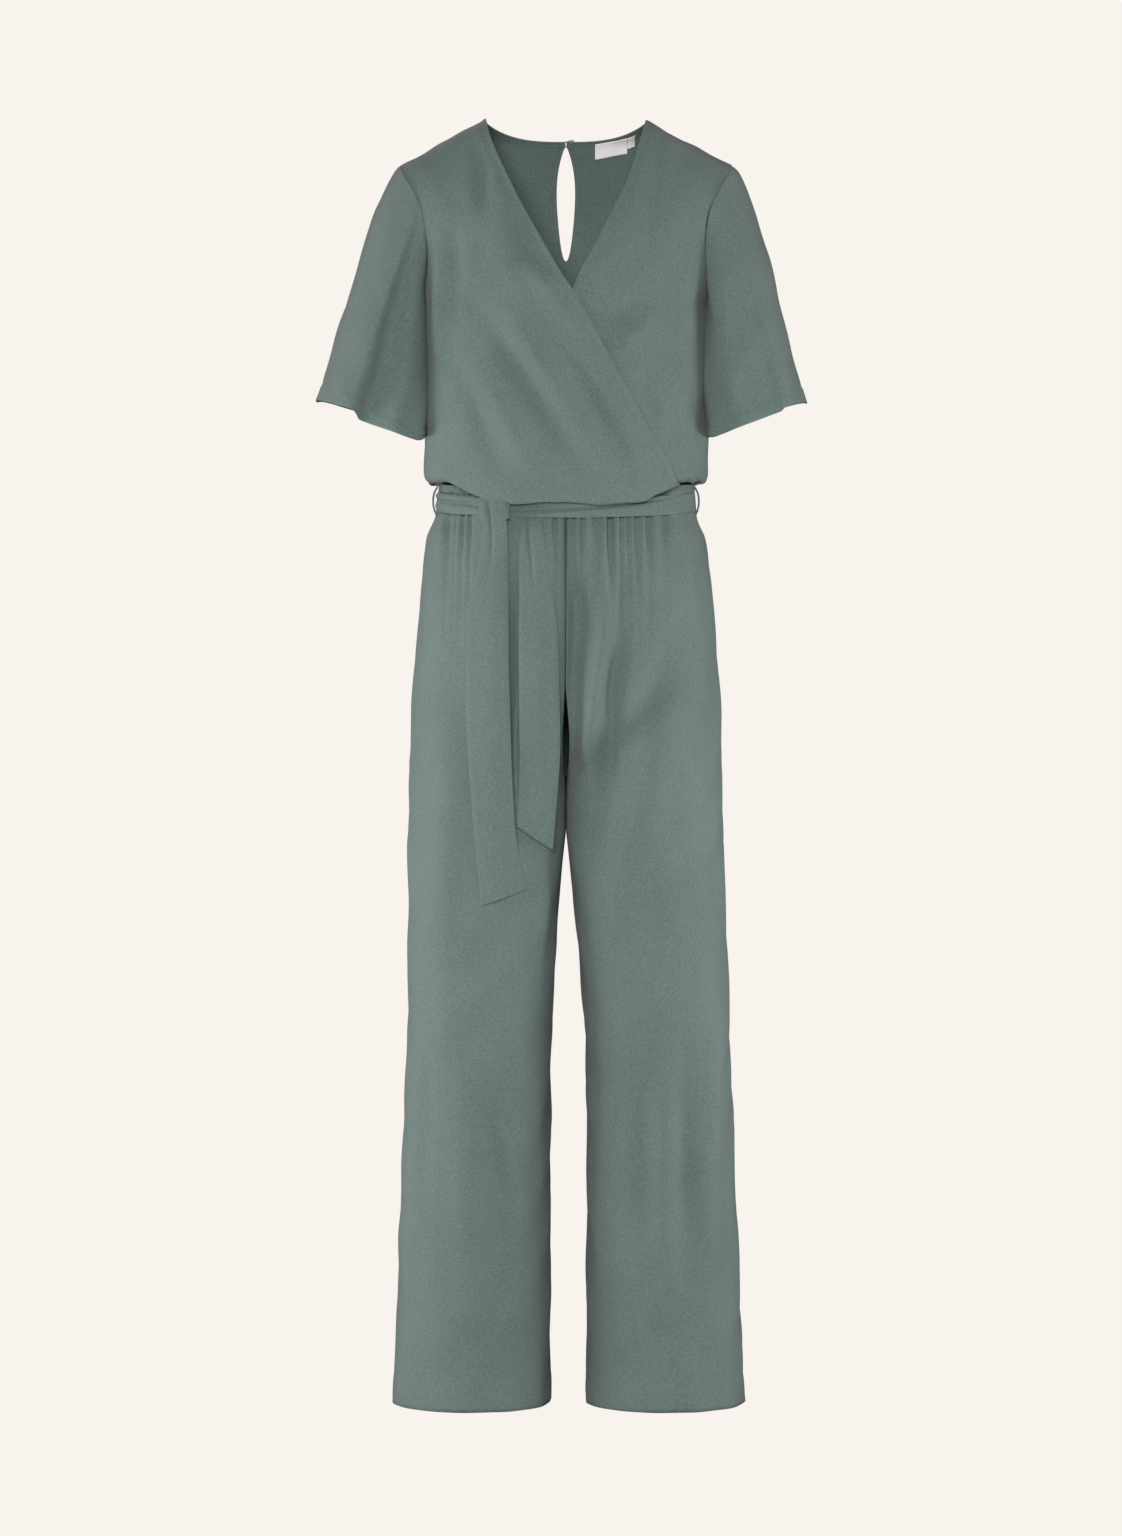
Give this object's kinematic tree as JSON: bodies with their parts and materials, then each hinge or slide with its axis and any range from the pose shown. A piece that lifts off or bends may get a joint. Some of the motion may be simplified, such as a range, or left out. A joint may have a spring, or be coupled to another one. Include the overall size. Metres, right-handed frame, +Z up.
{
  "type": "wrap-front jumpsuit with a tie belt",
  "caption": "Wrap-front jersey jumpsuit with short flared sleeves, a leaf-shaped back neck opening, straight long legs and a knotted tie belt.",
  "frame": {"origin": "midway between the two neck points, where the shoulder seams meet the neck, at the height of those points", "axes": "+Z up, +X towards the wearer's left, -Y the way the front faces"},
  "size_m": [0.539, 0.2599, 1.4065],
  "materials": {
    "jersey": "matte knit",
    "thread": "matte thread",
    "label": "woven satin",
    "button": "polished"
  },
  "bodies": {
    "root": {"back_bodice": "jersey", "right_front": "jersey", "left_front": "jersey", "sleeve_right": "jersey", "sleeve_left": "jersey", "right_leg_front": "jersey", "left_leg_front": "jersey", "right_leg_back": "jersey", "left_leg_back": "jersey", "neck_binding_right": "jersey", "neck_binding_left": "jersey", "keyhole_binding": "jersey", "belt_right_stretch": "jersey", "belt_left_stretch": "jersey", "belt_back_stretch": "jersey", "belt_knot": "jersey", "belt_long_end": "jersey", "belt_short_end": "jersey", "belt_loop_right": "thread", "belt_loop_left": "thread", "back_neck_button_loop": "thread", "back_neck_button": "button", "neck_label": "label", "size_label": "label"}
  },
  "joints": []
}
